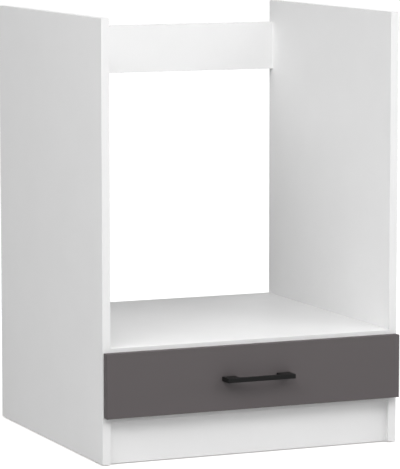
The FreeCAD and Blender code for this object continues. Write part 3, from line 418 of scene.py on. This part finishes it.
def moulded(name, colour, roughness):
    """Moulded plastic with a fine spark-eroded texture."""
    finish = Finish(name)
    grain = finish.noise(feature=0.35)
    finish.colour(grain, shades(colour, 0.92, 1.06))
    finish.roughness(grain, roughness, swing=0.06)
    finish.bump(grain, depth=0.006)
    return finish.material


def beech(name):
    """Turned beech with its short dark flecks."""
    finish = Finish(name, specular=0.3)
    grain = finish.noise(feature=1.2, stretch=WOOD_GRAIN_STRETCH, detail=4.0)
    finish.colour(grain, BEECH_COLOURS)
    finish.roughness(grain, middle=0.7, swing=0.1)
    finish.bump(grain, depth=0.03)
    return finish.material


def dress(names, material):
    for name in names.split():
        slots = NODES[name].data.materials
        slots.clear()
        slots.append(material)


def dress_board(names, axis, face, edge, low_face=None, rounded_top=False):
    """Faces of a board get its finish, and its sawn edges, grooves and holes show its core.
    The face at the low end of the axis may have a finish of its own, and a rounded top be covered too."""
    for name in names.split():
        mesh = NODES[name].data
        low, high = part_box(name)
        mesh.materials.clear()
        for material in (face, edge, low_face or face):
            mesh.materials.append(material)
        for polygon in mesh.polygons:
            along = polygon.center[axis]
            flat = abs(polygon.normal[axis]) > SQUARE_TO_AXIS
            rises = polygon.normal.z > TOP_RISE and polygon.center.z > high.z - ROUNDED_TOP_DEPTH
            if flat and along > high[axis] - SURFACE_TOLERANCE:
                polygon.material_index = HIGH_FACE_SLOT
            elif flat and along < low[axis] + SURFACE_TOLERANCE:
                polygon.material_index = LOW_FACE_SLOT
            elif rounded_top and rises:
                polygon.material_index = HIGH_FACE_SLOT
            else:
                polygon.material_index = EDGE_SLOT


def dress_boards():
    white = laminate("white_melamine", WHITE, roughness=0.48, specular=0.2)
    graphite = laminate("graphite_laminate", GRAPHITE, roughness=0.55, pore=0.7, specular=0.3)
    painted = laminate("white_painted_fibreboard", PAINT_WHITE, roughness=0.55, pore=1.4, relief=0.012)
    raw_edge = chipboard("raw_chipboard")
    raw_sheet = hardboard("raw_hardboard")
    dress_board("side_panel_left side_panel_right", X_AXIS, white, raw_edge)
    dress_board("oven_deck bottom_panel", Z_AXIS, white, raw_edge)
    dress_board("rear_rail plinth_board", Y_AXIS, white, raw_edge)
    dress_board("drawer_side_left drawer_side_right", X_AXIS, white, raw_edge, rounded_top=True)
    dress_board("drawer_back", Y_AXIS, white, raw_edge, rounded_top=True)
    dress_board("drawer_front", Y_AXIS, graphite, raw_edge)
    dress_board("back_strip", Y_AXIS, raw_sheet, raw_sheet, low_face=painted)
    dress_board("drawer_bottom", Z_AXIS, painted, raw_sheet, low_face=raw_sheet)


def dress_bands():
    for name, stretch, bands in (
        ("white_band_upright", ALONG_Z, "side_front_band_left side_front_band_right"),
        ("white_band_deep", ALONG_Y, "side_top_band_left side_top_band_right"),
        ("white_band_wide", ALONG_X, "deck_front_band bottom_front_band rail_edge_bands"),
    ):
        dress(bands, edge_band(name, WHITE, roughness=0.36, stretch=stretch))
    graphite = edge_band("graphite_band_wide", GRAPHITE, roughness=0.45, stretch=ALONG_X, specular=0.06)
    dress("drawer_front_bands", graphite)


def dress_slides():
    zinc = rolled_metal("zinc_plated_sheet", ZINC, roughness=0.36, stretch=ALONG_Y)
    cage = rolled_metal("bright_cage_sheet", CAGE_STEEL, roughness=0.28, stretch=ALONG_Y, feature=0.25)
    polished = rolled_metal("polished_ball_steel", BALL_STEEL, roughness=0.14, feature=0.2, relief=0.001)
    black = moulded("black_moulded_plastic", PLASTIC_BLACK, roughness=0.42)
    for side in ("left", "right"):
        dress(f"slide_cabinet_member_{side} slide_middle_member_{side}", zinc)
        dress(f"slide_drawer_member_{side}", zinc)
        dress(f"outer_ball_cage_{side} inner_ball_cage_{side}", cage)
        dress(f"outer_balls_{side} inner_balls_{side}", polished)
        dress(f"release_lever_{side}", black)
    dress("slide_end_bumpers", black)


def dress_fittings():
    cast = rolled_metal("zinc_die_cast", CAST_ZINC, roughness=0.45, feature=1.1, relief=0.01)
    plated = rolled_metal("plated_screw_steel", SCREW_STEEL, roughness=0.27, feature=0.3)
    dress("handle", powder_coat("black_powder_coat", HANDLE_BLACK, roughness=0.38))
    dress("carcass_cam_locks carcass_cam_bolts drawer_cam_locks drawer_cam_bolts", cast)
    dress("cabinet_slide_screws drawer_slide_screws drawer_back_screws drawer_bottom_screws", plated)
    dress("handle_screws back_strip_nails lever_rivets", plated)
    dress("carcass_dowels drawer_dowels", beech("beech_dowel"))
    dress("floor_glides", moulded("white_moulded_plastic", PLASTIC_WHITE, roughness=0.42))
    dress("front_bumpers", moulded("soft_clear_pad", PAD_GREY, roughness=0.30))


dress_boards()
dress_bands()
dress_slides()
dress_fittings()
make_camera()
make_lights()
make_world()
make_floor()
bpy.context.scene.view_settings.view_transform = "Standard"
